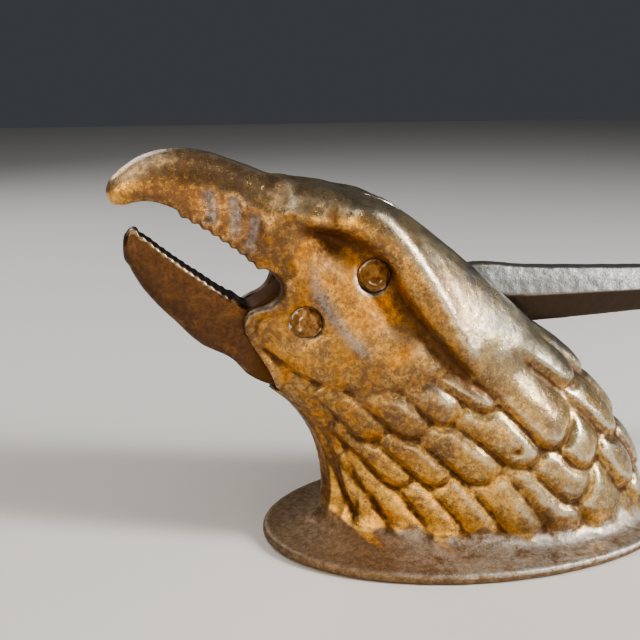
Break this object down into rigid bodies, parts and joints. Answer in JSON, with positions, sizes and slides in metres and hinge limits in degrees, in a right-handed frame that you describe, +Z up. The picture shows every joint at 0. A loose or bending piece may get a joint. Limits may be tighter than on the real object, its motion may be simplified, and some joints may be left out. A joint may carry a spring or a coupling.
{
  "type": "nutcracker",
  "caption": "Tabletop nutcracker cast as an eagle's head on an oval foot; pressing its long lever down closes a toothed lower beak against the upper one to crack a nut",
  "frame": {"origin": "middle of the footprint of the whole part, on the plane the foot rests on", "axes": "+X from the beak towards the end of the handle, +Z up, +Y across the head to its far side in the picture"},
  "size_m": [0.2522, 0.076, 0.1116],
  "materials": {
    "worn_gilt_iron": "gold and brown bronze paint worn down to dark iron on the high places",
    "brown_bronzed_iron": "dark brown bronze paint over a rough casting, grey where it is worn",
    "peened_rivet_iron": "hammered rivet ends with a brown tarnish"
  },
  "bodies": {
    "body": {"eagle_body": "worn_gilt_iron", "jaw_pivot_rivet": "peened_rivet_iron", "eye_rivet": "peened_rivet_iron"},
    "jaw_lever": {"jaw_lever": "brown_bronzed_iron"}
  },
  "joints": [
    {"name": "jaw_hinge", "type": "hinge", "parent": "body", "child": "jaw_lever", "pos_m": [-0.0776, 0, 0.0674], "axis": [0, -1, 0], "range_deg": [0, 28]}
  ]
}
